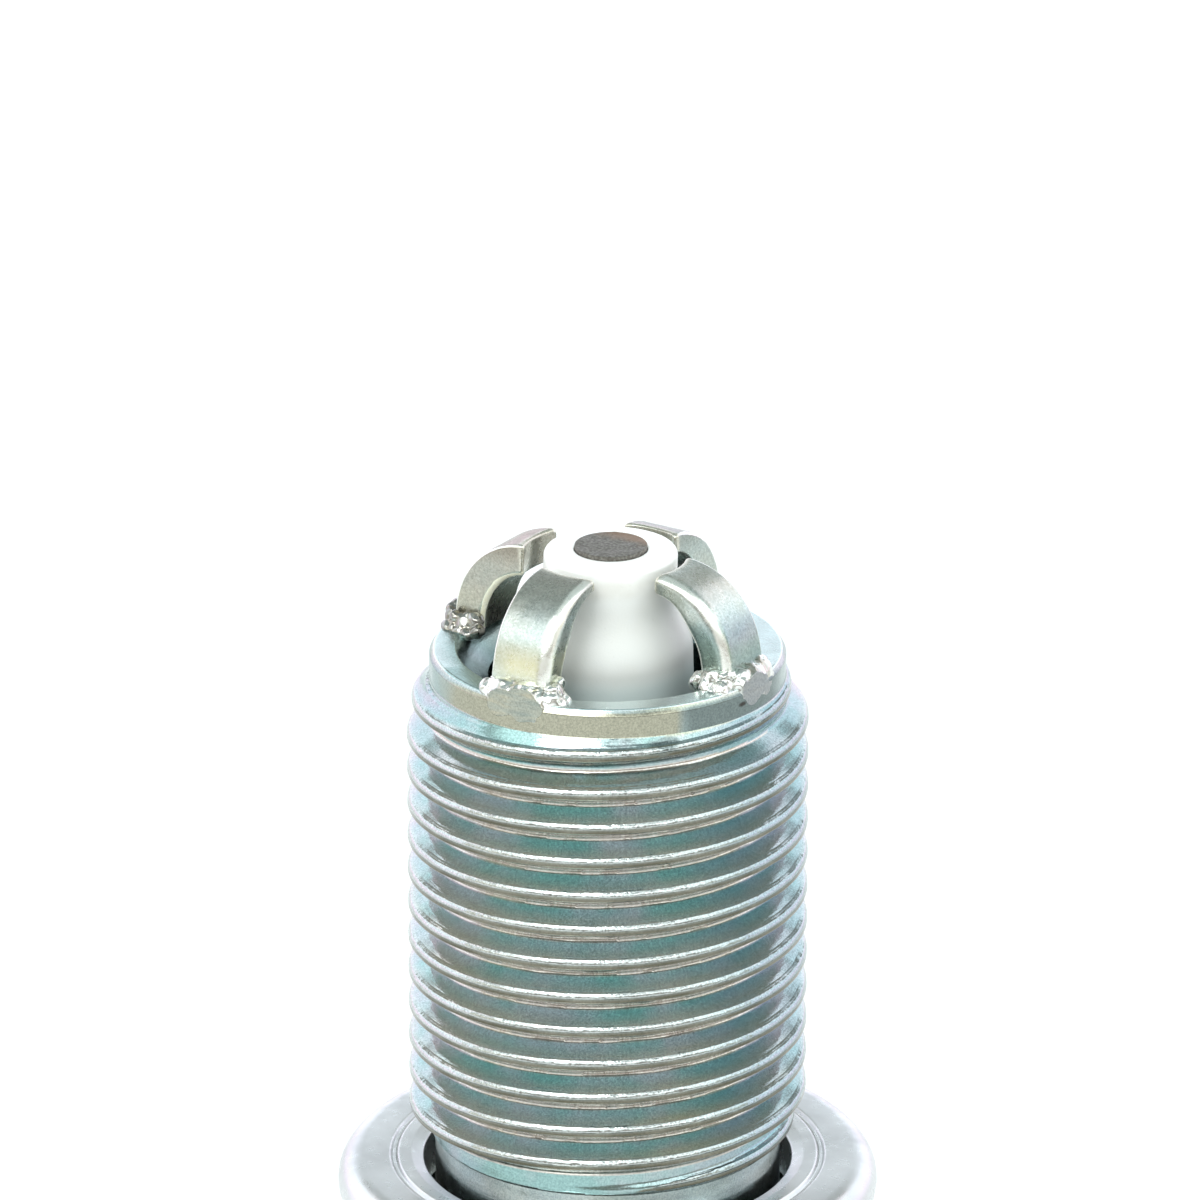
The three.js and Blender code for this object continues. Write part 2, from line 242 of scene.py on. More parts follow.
def thread(size, envelope, fill=None, columns=COLUMNS):
    """A right-hand thread as a grid whose rows follow the helix, cut flat at both ends.

    size gives low, high, pitch, crest_over_x (the height of one crest over +X), major, root, the
    half width of the crest's flat, and the rounding of its lower and its upper edge. envelope(z)
    is the largest radius at a height, for the lead-in and the run-out: a lower ridge keeps its
    shape. fill is (start, laps): the groove above a ridge fills up to the envelope over that many
    laps from the start."""
    low, high, pitch, crest_over_x, major, root, crest_half, lower_round, upper_round = size
    within = np.array(THREAD_ROWS) * pitch
    turns = np.linspace(0, 1, columns + 1)
    first = math.floor((low - pitch - crest_over_x) / pitch)
    last = math.ceil((high - crest_over_x) / pitch)
    numbers = np.repeat(np.arange(first, last + 1), len(within))[:, None]
    starts = crest_over_x + numbers * pitch + np.tile(within, last - first + 1)[:, None]
    heights = np.clip(starts + turns * pitch, low, high)
    lap = (heights - crest_over_x) / pitch - turns
    offset = (lap - np.round(lap)) * pitch
    angle = (np.round(lap) + turns) * 2 * math.pi
    beyond = np.abs(offset) + ripple(angle, 3) * EDGE_WAVE * pitch - crest_half
    drop = corner_drop(beyond, np.where(offset < 0, lower_round, upper_round))
    wave = CREST_WAVE * ripple(angle * 1.7, 5) * pitch
    top = np.minimum(major, envelope(heights - offset)) + wave
    radii = smooth_high(np.minimum(top, major) - drop, root, ROOT_BLEND)
    if fill is not None:
        start, laps = fill
        filled = soft_step(np.floor(lap) + turns, start, start + laps)
        hull = np.minimum(envelope(heights), top)
        radii = radii + (np.maximum(hull, radii) - radii) * filled
    radii = np.where((heights <= low) | (heights >= high), root, radii)
    points = polar_points(radii, heights, turns * 2 * math.pi)
    return points, grid_faces(len(starts), columns + 1, False)


def present(piece, body, slot, material, *nodes):
    """Puts a finished piece in place of the CAD nodes that it stands for."""
    piece.data.materials.append(material)
    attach(piece, body)
    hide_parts(*nodes)


# ---- material helpers ----


class Nodes:
    """A node tree whose nodes are made and linked in one call each."""

    COLOUR_A, COLOUR_B, COLOUR_RESULT = 6, 7, 2  # the mix node's sockets for colours

    def __init__(self, tree):
        self.tree = tree

    def add(self, kind, settings=None, **inputs):
        node = self.tree.nodes.new(kind)
        for key, value in (settings or {}).items():
            setattr(node, key, value)
        for key, value in inputs.items():
            self.plug(node.inputs[key.replace("_", " ")], value)
        return node

    def plug(self, socket, value):
        """Links a socket, or gives it a number, a vector or a colour."""
        if isinstance(value, bpy.types.NodeSocket):
            self.tree.links.new(value, socket)
        else:
            socket.default_value = (*value, 1) if socket.type == "RGBA" else value

    def ramp(self, value, *stops):
        """A colour ramp through (position, colour) stops."""
        node = self.add("ShaderNodeValToRGB", Fac=value)
        while len(node.color_ramp.elements) < len(stops):
            node.color_ramp.elements.new(0.5)
        for element, (position, colour) in zip(node.color_ramp.elements, stops):
            element.position = position
            element.color = (*colour, 1)
        return node.outputs["Color"]

    def span(self, value, low, high, to_low=0.0, to_high=1.0, how="LINEAR"):
        """value from low..high mapped to to_low..to_high, and held there."""
        ends = {"From_Min": low, "From_Max": high, "To_Min": to_low, "To_Max": to_high}
        node = self.add("ShaderNodeMapRange", {"interpolation_type": how}, Value=value, **ends)
        return node.outputs["Result"]

    def window(self, value, low, high, soft):
        """1 inside low..high and 0 outside, with soft flanks."""
        rise = self.span(value, low - soft, low + soft, how="SMOOTHSTEP")
        fall = self.span(value, high + soft, high - soft, how="SMOOTHSTEP")
        return self.times(rise, fall)

    def math(self, operation, a, b=0.0):
        node = self.add("ShaderNodeMath", {"operation": operation})
        self.plug(node.inputs[0], a)
        self.plug(node.inputs[1], b)
        return node.outputs["Value"]

    def times(self, a, b):
        return self.math("MULTIPLY", a, b)

    def mix(self, factor, a, b, how="MIX"):
        """Colour b over colour a by a factor."""
        settings = {"data_type": "RGBA", "blend_type": how}
        node = self.add("ShaderNodeMix", settings, Factor=factor)
        self.plug(node.inputs[self.COLOUR_A], a)
        self.plug(node.inputs[self.COLOUR_B], b)
        return node.outputs[self.COLOUR_RESULT]


class Material(Nodes):
    """A node material; place is the point in the CAD frame, in metres."""

    def __init__(self, name):
        self.material = bpy.data.materials.new(name)
        self.material.use_nodes = True
        super().__init__(self.material.node_tree)
        self.shader = self.tree.nodes["Principled BSDF"]
        self.place = self.add("ShaderNodeTexCoord").outputs["Object"]

    def set(self, **inputs):
        for key, value in inputs.items():
            self.plug(self.shader.inputs[key.replace("_", " ")], value)

    def noise(self, scale, detail=3, stretch=(1, 1, 1), seed=0.0):
        """Noise with features of about 1/scale metres, stretched along the axes."""
        where = {"Vector": self.place, "Scale": stretch, "Location": (seed, 0, 0)}
        place = self.add("ShaderNodeMapping", **where).outputs["Vector"]
        look = {"Scale": scale, "Detail": detail, "Roughness": 0.55}
        return self.add("ShaderNodeTexNoise", Vector=place, **look).outputs["Fac"]

    def rings(self, across, along, detail, seed):
        """Noise drawn out round the axis, like marks of turning; features of 1/along metres."""
        return self.noise(1, detail, (across, across, along), seed)

    def mottle(self, scale, seed, *stops):
        """Patches of colours."""
        return self.ramp(self.noise(scale, seed=seed), *stops)

    def uneven(self, scale, seed, low, high):
        """A value that wanders between low and high."""
        return self.span(self.noise(scale, seed=seed), 0.3, 0.7, low, high)

    def attribute(self, name):
        return self.add("ShaderNodeAttribute", {"attribute_name": name}).outputs["Fac"]

    def ragged(self, name, edge, low, high, to_low=0.0, to_high=1.0):
        """An attribute's mask, its edge broken up by noise."""
        value = self.math("ADD", self.attribute(name), edge)
        return self.span(value, low, high, to_low, to_high)

    def axis(self, name):
        return self.add("ShaderNodeSeparateXYZ", Vector=self.place).outputs[name]

    def band(self, low, high, soft):
        """1 between two heights in millimetres, with soft flanks."""
        return self.window(self.axis("Z"), low * MM, high * MM, soft * MM)

    def over(self, tint, where, colour, most=1, how="MIX"):
        """tint under a colour, which is as strong as most where a mask or attribute is 1."""
        if isinstance(where, str):
            where = self.attribute(where)
        if most != 1:
            where = self.times(where, most)
        return self.mix(where, tint, colour, how)

    def speckled(self, tint, grain, share=0.5, dark=(0.3, 0.32, 0.32)):
        """tint with darker and lighter specks."""
        specks = self.ramp(grain, (0.32, dark), (0.68, (0.7, 0.71, 0.7)))
        return self.mix(share, tint, specks, "OVERLAY")

    def bumps(self, *layers):
        """A normal through layers of (height, depth in millimetres), each on the one before."""
        normal = None
        for height, depth in layers:
            node = self.add("ShaderNodeBump", Height=height, Distance=depth * MM, Strength=1.0)
            if normal is not None:
                self.plug(node.inputs["Normal"], normal)
            normal = node.outputs["Normal"]
        return normal


# ---- materials ----

PIT = (6.12, -0.93, END - 0.55)  # a flaw beside the second weld
PIT_SQUASH = 2.4  # how many times wider than high it is
PIT_BOTTOM, PIT_RIM = 0.12, 0.26  # its half widths
GLAZE = -18.4  # the insulator is glazed behind the shell, from here down


def pit_mask(m):
    """1 in the flaw and 0 outside it."""
    squash = m.add("ShaderNodeMapping", Vector=m.place, Scale=(1, 1, PIT_SQUASH))
    away = m.add("ShaderNodeVectorMath", {"operation": "DISTANCE"})
    m.plug(away.inputs[0], squash.outputs["Vector"])
    m.plug(away.inputs[1], (PIT[0] * MM, PIT[1] * MM, PIT_SQUASH * PIT[2] * MM))
    return m.span(away.outputs["Value"], PIT_BOTTOM * MM, PIT_RIM * MM, 1, 0)


def zinc_plate():
    """Zinc over turned steel: teal grooves, partly the chromate's colour and partly painted shade,
    dark crests with a painted highlight above and a painted reflection below, a painted tan
    reflection and painted shade at the plain end, a painted reflection on the end face and painted
    shade in the bore.
    """
    m = Material("zinc_plate")
    tint = m.ramp(
        m.noise(230, 4, seed=3),
        (0.3, (0.36, 0.44, 0.45)),
        (0.46, (0.44, 0.49, 0.49)),
        (0.56, (0.5, 0.52, 0.5)),
        (0.7, (0.5, 0.5, 0.43)),
    )
    olive = m.span(m.noise(120, 2, seed=11), 0.6, 0.74)
    tint = m.over(tint, olive, (0.5, 0.47, 0.27), 0.6)
    # teal in the grooves: partly the chromate's own colour, partly painted shade that deepens into
    # the groove
    teal = m.mottle(420, 15, (0.38, (0.27, 0.43, 0.42)), (0.62, (0.41, 0.45, 0.47)))
    tint = m.over(tint, "groove", teal, 0.9)
    # a lighter tint on each crest's upper rounding: a painted highlight
    tint = m.over(tint, "shoulder_highlight", (0.52, 0.54, 0.53))
    # darker bluish teal on the thread's +X side: painted shade
    tint = m.over(tint, "thread_right_shade", (0.22, 0.32, 0.37), 0.5)
    crest = m.mottle(520, 17, (0.36, (0.12, 0.11, 0.08)), (0.62, (0.2, 0.185, 0.145)))
    tint = m.over(tint, "crest", crest)
    # lower flanks tinted brown: a painted reflection of the ridge below
    tint = m.over(tint, "under", (0.37, 0.33, 0.27))
    # the roots tinted cream: a painted reflection of the floor
    tint = m.over(tint, "root", (0.62, 0.55, 0.5), 0.9)
    # dark patches on the lead-in at the front
    lead_in_dark = m.ragged("lead_in_dark", m.rings(700, 3200, 4, 18), 1.46, 1.6, 0.0, 0.85)
    tint = m.over(tint, lead_in_dark, (0.19, 0.23, 0.23))
    cloud = m.noise(300, 4, seed=16)
    outside = m.ramp(cloud, (0.38, (0.28, 0.36, 0.35)), (0.62, (0.4, 0.45, 0.44)))
    tint = m.over(tint, "outside", outside)
    edge = m.noise(260, seed=2)
    # a tan band on the plain end's front: a painted reflection of the floor in front; painted shade
    # follows on its +X side
    tint = m.over(tint, m.ragged("tan_reflection", edge, 0.7, 1.2), (0.37, 0.35, 0.27), 0.95)
    tint = m.over(tint, m.ragged("shade", edge, 0.7, 1.4), (0.16, 0.19, 0.185), 0.9)
    tint = m.over(tint, pit_mask(m), (0.06, 0.055, 0.05))
    # the end face lighter: a painted reflection of the bright backdrop
    tint = m.over(tint, "face", (0.7, 0.8, 0.81), 0.8)
    # a dark teal patch on the end face by the -X strap: a painted reflection of that strap
    tint = m.over(tint, "strap_reflection", (0.28, 0.4, 0.39), 0.85)
    # the bore below the end face near black: painted shade
    tint = m.over(tint, "inside", (0.11, 0.16, 0.155))
    grain = m.noise(15000, 2)
    normal = m.bumps(
        (m.rings(60, 9000, 2, 5), 0.003),
        (grain, 0.002),
        (m.times(m.noise(1900, seed=12), m.attribute("shoulder_highlight")), 0.06),
        (m.rings(450, 5000, 3, 13), 0.012),
        (m.noise(700, seed=8), 0.010),
    )
    m.set(Base_Color=m.speckled(tint, grain), Metallic=1.0, Normal=normal)
    polish = m.times(m.attribute("threaded"), 0.09)
    m.set(Roughness=m.math("SUBTRACT", m.uneven(1500, 9, 0.17, 0.28), polish))
    return m.material


def strap_nickel():
    """The nickel alloy of the ground electrodes: satin, straw near the foot, greyer at the tip,
    with painted highlights on the round edges and painted bluish shade on two straps.
    """
    m = Material("nickel_strap")
    tint = m.ramp(
        m.noise(420, 4, seed=21),
        (0.32, (0.46, 0.53, 0.52)),
        (0.5, (0.54, 0.58, 0.55)),
        (0.68, (0.6, 0.6, 0.54)),
    )
    straw = m.times(m.band(END + 0.55, END + 1.5, 0.45), m.attribute("straw"))
    patches = m.span(m.noise(300, 2, seed=24), 0.4, 0.58, 0.3, 1.0)
    tint = m.over(tint, straw, (0.82, 0.81, 0.62), patches)
    tip = m.span(m.axis("Z"), (END + 2.5) * MM, (END + 3.1) * MM)
    tint = m.over(tint, "tip", (0.37, 0.36, 0.32), tip)
    tint = m.over(tint, "warm", (0.6, 0.47, 0.38), how="MULTIPLY")
    # darker bluish grey on the second strap's leg and on the third strap: painted shade
    tint = m.over(tint, "blue_shade", (0.51, 0.6, 0.62), how="MULTIPLY")
    # the round long edges near white: a painted highlight
    edge = m.ragged("edge", m.noise(900, seed=25), 0.85, 1.15)
    tint = m.over(tint, edge, (0.9, 0.9, 0.84))
    tint = m.over(tint, "cut", (0.66, 0.63, 0.54), 0.8)
    # the fourth strap's inner edge, cream and less metallic: a painted highlight
    inner_edge_highlight = m.ragged("inner_edge_highlight", m.noise(900, seed=26), 0.85, 1.05)
    tint = m.over(tint, inner_edge_highlight, (0.95, 0.92, 0.74))
    grain = m.noise(11000, seed=2)
    tint = m.speckled(tint, grain, dark=(0.3, 0.31, 0.3))
    normal = m.bumps((grain, 0.004), (m.noise(1500, seed=6), 0.012))
    m.set(Base_Color=tint, Metallic=m.span(inner_edge_highlight, 0, 1, 0.95, 0.1), Normal=normal)
    m.set(Roughness=m.uneven(2500, 7, 0.22, 0.34))
    return m.material


def weld_metal():
    """Bright flash of the welds, dark and teal painted shade in the creases, matt where it was
    ground, and painted shade on one ground pad.
    """
    m = Material("weld")
    tint = m.mottle(1300, 31, (0.36, (0.66, 0.68, 0.65)), (0.58, (0.92, 0.92, 0.88)))
    patches = m.span(m.noise(1700, seed=35), 0.38, 0.6, 1, 0.6)
    # darker patches on some welds, set per weld
    tint = m.over(tint, "dark_weld", (0.2, 0.19, 0.17), patches)
    dark = m.ramp(m.noise(900, 2, seed=33), (0.4, (0.2, 0.25, 0.23)), (0.6, (0.34, 0.28, 0.2)))
    # dark teal where lumps meet: painted shade
    tint = m.over(tint, "crease_shade", dark, 0.65)
    ground = m.attribute("ground")
    streak = m.rings(500, 4200, 4, 34)
    matt = m.ramp(
        streak, (0.34, (0.27, 0.3, 0.27)), (0.5, (0.36, 0.365, 0.31)), (0.66, (0.43, 0.4, 0.31))
    )
    # the second weld's ground pad a cooler, darker grey: painted shade
    matt = m.over(matt, "blue_shade", (0.27, 0.275, 0.3))
    tint = m.over(tint, ground, matt, 0.97)
    tint = m.speckled(tint, m.noise(15000, 2), m.times(ground, 0.5))
    scratches = m.times(streak, ground)
    m.set(Normal=m.bumps((m.noise(4200, seed=32), 0.010), (scratches, 0.02)))
    m.set(Base_Color=tint, Metallic=1.0, Roughness=m.span(ground, 0, 1, 0.2, 0.28))
    return m.material


def alumina():
    """White ceramic: fine grained at the nose, with painted shade on the nose below its tip, glazed
    on the outside behind the shell.
    """
    m = Material("alumina")
    grain = m.noise(11000, seed=41)
    tint = m.mottle(500, 42, (0.35, (0.88, 0.88, 0.85)), (0.65, (0.92, 0.925, 0.905)))
    fired = m.span(m.noise(5200, 2, seed=43), 0.7, 0.78, 0.0, 0.35)
    tint = m.over(tint, fired, (0.6, 0.58, 0.53))
    # teal grey on the nose inside the shell: painted shade with the shell's teal bounce light
    tint = m.over(tint, m.band(4.0, END - 0.35, 0.5), (0.48, 0.6, 0.59), 0.6)
    # grey on the nose's body below its white tip: painted shade
    tint = m.over(tint, m.band(END - 0.3, END + 2.75, 0.3), (0.62, 0.63, 0.6), 0.42)
    # under the tip's ring: painted shade, broken into mottled tan patches of the ceramic's own
    neck = m.band(END + 2.55, END + 3.2, 0.2)
    patches = m.span(m.noise(700, seed=46), 0.35, 0.65, 0.1, 0.5)
    tint = m.over(tint, neck, (0.66, 0.64, 0.58), patches)
    glazed = m.span(m.axis("Z"), GLAZE * MM, (GLAZE - 0.6) * MM)
    cast = m.mottle(260, 45, (0.35, (0.5, 0.49, 0.46)), (0.65, (0.58, 0.575, 0.55)))
    tint = m.over(tint, glazed, cast)
    normal = m.bumps((grain, 0.004), (m.noise(1300, 2, seed=44), 0.006))
    m.set(Base_Color=tint, Roughness=m.span(glazed, 0, 1, 0.38, 0.1), Normal=normal)
    m.set(Specular_IOR_Level=0.5, Subsurface_Weight=0.1, Subsurface_Scale=0.4 * MM)
    m.set(Subsurface_Radius=(1.0, 0.9, 0.8))
    return m.material


def electrode_nickel():
    """The centre electrode's end: dull, dark, speckled, with a copper bloom at one side."""
    m = Material("nickel_dark")
    speckle = m.noise(9500, 2, seed=51)
    tint = m.ramp(
        speckle,
        (0.36, (0.13, 0.12, 0.105)),
        (0.5, (0.18, 0.17, 0.15)),
        (0.64, (0.26, 0.25, 0.225)),
    )
    side = m.span(m.axis("Y"), -0.1 * MM, 1.1 * MM, 0.0, 0.75)
    bloom = m.span(m.math("ADD", side, m.noise(900, 2, seed=52)), 0.75, 1.15, 0.0, 0.75)
    tint = m.over(tint, bloom, (0.3, 0.19, 0.12))
    m.set(Base_Color=tint, Metallic=0.7, Normal=m.bumps((speckle, 0.012)))
    m.set(Roughness=m.uneven(2600, 53, 0.4, 0.58))
    return m.material


def turned_steel(name, light, dark, rough, seed):
    """Nickel plated or plain turned steel, with fine rings from the lathe."""
    m = Material(name)
    tint = m.mottle(300, seed, (0.35, dark), (0.65, light))
    rings, grain = m.rings(80, 8000, 2, seed + 1), m.noise(9000, 2, seed=seed + 2)
    m.set(Base_Color=tint, Metallic=1.0, Normal=m.bumps((rings, 0.005), (grain, 0.003)))
    m.set(Roughness=m.uneven(1800, seed + 3, rough - 0.06, rough + 0.08))
    return m.material


def inner_matter(name, light, dark, metallic, rough, scale, seed):
    """A grainy stuff for pieces that are sealed inside the plug."""
    m = Material(name)
    grain = m.noise(scale, 4, seed=seed)
    m.set(Base_Color=m.ramp(grain, (0.35, dark), (0.65, light)), Metallic=metallic, Roughness=rough)
    m.set(Normal=m.bumps((grain, 0.02)))
    return m.material


ZINC = zinc_plate()
STRAP = strap_nickel()
WELD = weld_metal()
ALUMINA = alumina()
ELECTRODE = electrode_nickel()
NICKEL_STEEL = turned_steel("nickel_steel", (0.74, 0.73, 0.7), (0.62, 0.62, 0.6), 0.22, 61)
GASKET_STEEL = turned_steel("gasket_steel", (0.72, 0.73, 0.73), (0.6, 0.61, 0.61), 0.3, 71)
COPPER = inner_matter("copper", (0.78, 0.47, 0.32), (0.6, 0.33, 0.21), 1.0, 0.34, 2600, 81)
GLASS = inner_matter("seal_glass", (0.16, 0.15, 0.14), (0.05, 0.05, 0.045), 0.1, 0.35, 5200, 82)
CARBON = inner_matter("carbon", (0.05, 0.05, 0.048), (0.015, 0.015, 0.015), 0.0, 0.8, 6500, 83)
TALC = inner_matter("talc", (0.78, 0.76, 0.71), (0.62, 0.6, 0.55), 0.0, 0.9, 4200, 84)

# ---- shell ----

PITCH = 1.25
CREST_OVER_X = 17.65
MAJOR = 6.95
ROOT = 6.18
PLAIN_RADIUS = 6.16
THREAD_TOP = END - 1.0
LEAD_IN = (0.62, 0.09)  # the flare's radius gained per millimetre and per square millimetre
CREST_HALF = 0.14
CREST_ROUNDING = (0.05, 0.3)  # below and above
LAST_GROOVE = (-0.6, 0.34)  # where the last groove starts to fill, and over how much of a lap
LAST_ROOT = END - 2.0  # the roots are tinted lighter below this height, a painted reflection of the floor
RELIEF = 6.05
RELIEF_TOP = 0.95
THREAD_BOTTOM = RELIEF_TOP + 0.1
TAN_REFLECTION_AZIMUTH = 28  # where the middle of the plain end's painted tan reflection is
FLANGE = 9.3
FLANGE_TOP = -2.0
FLANGE_BOTTOM = -6.0
GROOVE = 7.6
HEX_TOP = -8.0
HEX_BOTTOM = -17.0
HEX_HALF = 8.0
HEX_END = HEX_HALF - 0.25  # the radius at which its ends join the surfaces beside it
MOUTH = 5.25
BORE = (4.1, 3.75, 4.75)  # before, at and behind the ledge that the insulator sits on
BORE_END = -4.6
CHAMBER = 6.6  # the wide bore behind that


def shell_thread():
    def envelope(heights):
        down = np.maximum(THREAD_TOP - heights, 0)
        lead_in = ROOT + down * (LEAD_IN[0] + LEAD_IN[1] * down)
        run_out = ROOT + (heights - THREAD_BOTTOM - 0.1)
        return np.minimum(lead_in, run_out)

    ends = (THREAD_BOTTOM, THREAD_TOP)
    size = (*ends, PITCH, CREST_OVER_X, MAJOR, ROOT, CREST_HALF, *CREST_ROUNDING)
    return thread(size, envelope, fill=LAST_GROOVE)


def shell_top():
    """From the top of the thread over the end face and down the countersink into the bore."""
    before, ledge, behind = BORE
    return lathe_rounded(
        (ROOT, THREAD_TOP),
        (PLAIN_RADIUS, THREAD_TOP + 0.04, 0.03),
        (PLAIN_RADIUS, END - 0.22, 0.08),
        (PLAIN_RADIUS - 0.16, END, 0.1),
        (MOUTH, END, 0.07),
        (before, END - 1.0, 0.12),
        (before, 6.4, 0.1),
        (ledge, 6.0, 0.1),
        (ledge, 4.9, 0.1),
        (behind, 4.2, 0.1),
        (behind, BORE_END),
    )


def shell_flange():
    """From the top of the hexagon up over the gasket seat to the thread's run-out."""
    return lathe_rounded(
        (HEX_END, HEX_TOP),
        (GROOVE, HEX_TOP + 0.12, 0.1),
        (GROOVE, FLANGE_BOTTOM - 0.2, 0.35),
        (FLANGE - 0.8, FLANGE_BOTTOM, 0.2),
        (FLANGE, FLANGE_BOTTOM + 0.4, 0.3),
        (FLANGE, FLANGE_TOP, 0.45),
        (RELIEF, FLANGE_TOP, 0.25),
        (RELIEF, RELIEF_TOP, 0.05),
        (ROOT, THREAD_BOTTOM),
    )


def shell_hexagon():
    """The hexagon as a polar grid: six flats with small round corners, chamfered at both ends."""
    heights = [
        HEX_BOTTOM,
        *np.linspace(HEX_BOTTOM, HEX_BOTTOM + 1.2, 22),
        *np.linspace(HEX_BOTTOM + 1.4, HEX_TOP - 1.4, 8),
        *np.linspace(HEX_TOP - 1.2, HEX_TOP, 22),
        HEX_TOP,
    ]
    heights = np.array(heights)[:, None]
    angles = round_angles(COLUMNS)
    sector = (angles + math.pi / 6) % (math.pi / 3) - math.pi / 6
    corner = HEX_HALF / math.cos(math.pi / 6)
    flat = smooth_low(HEX_HALF / np.cos(sector), corner - 0.1, 0.1)
    end_gap = np.minimum(heights - HEX_BOTTOM, HEX_TOP - heights)
    chamfer = HEX_HALF + 0.28 + end_gap / math.tan(math.radians(30))
    radii = smooth_low(flat, chamfer, 0.06)
    radii[[0, -1]] = HEX_END
    return polar_points(radii, heights, angles), grid_faces(len(heights), COLUMNS, True)


def shell_lip():
    """The wide bore and the rolled lip behind it."""
    low = SHELL_LOW.z
    return lathe_rounded(
        (BORE[2], BORE_END),
        (CHAMBER, -6.4, 0.1),
        (CHAMBER, -17.5, 0.3),
        (5.6, low + 0.5, 0.15),
        (5.62, low, 0.12),
        (6.5, low, 0.7),
        (HEX_END, -17.6, 0.9),
        (HEX_END, HEX_BOTTOM),
        steps=5,
    )


def shell_marks(points):
    """What the plating is like at each point, painted light and shade among it: 1 for a crest, a
    groove, the painted tan reflection and so on.
    """
    x, y, z = points.T
    radius = np.hypot(x, y)
    lap = (z - CREST_OVER_X) / PITCH - np.arctan2(y, x) / (2 * math.pi)
    above_crest = (lap - np.round(lap)) * PITCH
    threaded = (z > THREAD_BOTTOM) & (z < THREAD_TOP) & (radius > ROOT - 0.1)
    ridge = threaded & (radius > ROOT + 0.1)
    upper_groove = soft_step(MAJOR - radius, 0.08, 0.34)
    lower_groove = 1 - soft_step(radius, ROOT + 0.38, ROOT + 0.5) * 0.6
    root = soft_step(np.abs(above_crest), PITCH / 2 - 0.08, PITCH / 2 - 0.04)
    under = soft_step(above_crest, -0.36, -0.28) * (above_crest < -CREST_HALF)
    lead_in = (np.abs(z - THREAD_TOP + 0.3) < 0.32) & (radius > PLAIN_RADIUS - 0.02)
    outside = (z > THREAD_TOP) & (radius > PLAIN_RADIUS - 0.05)
    end_face = z > END - 0.05
    from_tan_reflection = np.degrees(np.arctan2(x, -y)) - TAN_REFLECTION_AZIMUTH
    turn = math.radians(TAN_REFLECTION_AZIMUTH)
    across = x * math.cos(turn) + y * math.sin(turn)
    return {
        "shoulder_highlight": ridge * between(above_crest, -0.02, 0.04, 0.18, 0.24),
        "crest": ridge * between(above_crest, -0.17, -0.14, -0.02, 0.04),
        # under: brown on the lower flank, a painted reflection
        "under": ridge * under,
        # groove: the teal tint, partly painted shade
        "groove": threaded * np.where(above_crest > 0, upper_groove, lower_groove),
        # root: the cream tint, a painted reflection
        "root": threaded * (z < LAST_ROOT) * root,
        "lead_in_dark": lead_in * between(from_tan_reflection, -6, 6, 24, 38),
        "thread_right_shade": threaded * between(from_tan_reflection, 20, 50, 78, 100),
        "threaded": threaded,
        "outside": outside,
        "tan_reflection": outside * between(from_tan_reflection, -80, -36, 24, 34),
        "shade": outside * between(from_tan_reflection, 24, 34, 66, 90),
        # face: the lighter end face, a painted reflection
        "face": end_face & (radius < PLAIN_RADIUS - 0.1),
        "strap_reflection": end_face * between(across, -5.45, -5.25, -3.5, -2.5),
        # inside: the dark bore, painted shade
        "inside": (radius < MOUTH + 0.03) * soft_step(END - z, 0.0, 0.1),
    }


def shell():
    sheets = shell_lip(), shell_hexagon(), shell_flange(), shell_thread(), shell_top()
    points, faces = joined(*sheets)
    piece = finish_mesh("shell_body", points, faces, shell_marks(points), sharp_angle=50)
    present(piece, "plug", "zinc_plate", ZINC, "shell")


# ---- insulator ----

NOSE_LEAN = (0.09, 0.06, 0.0)  # how far off the plug's axis the tip stands
NOSE = 2.95
NOSE_RING = 2.31
NECK = 5.2  # the ribbed body's radius
RIB_DEPTH = 0.6
RIB_PITCH = 2.6
FIRST_RIB = -20.4
RIB_COUNT = 5
SEAT = 4.45
SHOULDER = 6.35
STUD_HOLE = 2.1


def leaning(points):
    """The nose and its electrode stand a little off the plug's axis."""
    height = np.clip((points[:, 2] - END) / (INSULATOR_HIGH.z - END), 0, 1)
    return points + height[:, None] * np.array(NOSE_LEAN)


def insulator():
    tip, end = INSULATOR_HIGH.z, INSULATOR_LOW.z
    ribs = []
    for rib in reversed(range(RIB_COUNT)):
        z = FIRST_RIB - rib * RIB_PITCH
        ribs += [(NECK, z - 2.05, 0.5), (NECK - RIB_DEPTH, z - 1.6, 0.35)]
        ribs += [(NECK - RIB_DEPTH, z - 1.2, 0.35), (NECK, z - 0.75, 0.5)]
    bell = []
    for share in np.linspace(0, 1, 33):
        fall = share**3 * (10 - 15 * share + 6 * share * share)
        bell.append((NOSE - (NOSE - NOSE_RING) * fall, END - 0.25 + 2.35 * share))
    points, faces = lathe_rounded(
        (STUD_HOLE, end),
        (4.2, end, 0.55),
        (NECK - 0.12, FIRST_RIB - RIB_COUNT * RIB_PITCH - 0.6, 1.5),
        *ribs,
        (NECK, -12.5, 0.3),
        (SHOULDER, -11.6, 0.3),
        (SHOULDER, -6.9, 0.3),
        (SEAT, -5.1, 0.4),
        (SEAT, 3.67, 0.2),
        (3.35, 4.44, 0.2),
        (3.35, 5.6, 0.5),
        (3.15, 12, 2),
        (2.96, END - 0.6),
        *bell,
        (NOSE_RING, tip, 0.22),
        (1.275, tip, 0.03),
        (1.275, tip - 0.4, 0.1),
        (1.45, tip - 0.7, 0.1),
        (1.45, 2.7, 0.1),
        (STUD_HOLE, 2.0, 0.1),
        (STUD_HOLE, end),
        steps=8,
    )
    piece = finish_mesh("insulator_body", leaning(points), faces, sharp_angle=60)
    present(piece, "plug", "alumina", ALUMINA, "insulator")


# ---- centre electrode ----

SHEATH = 1.25
CORE = 0.7


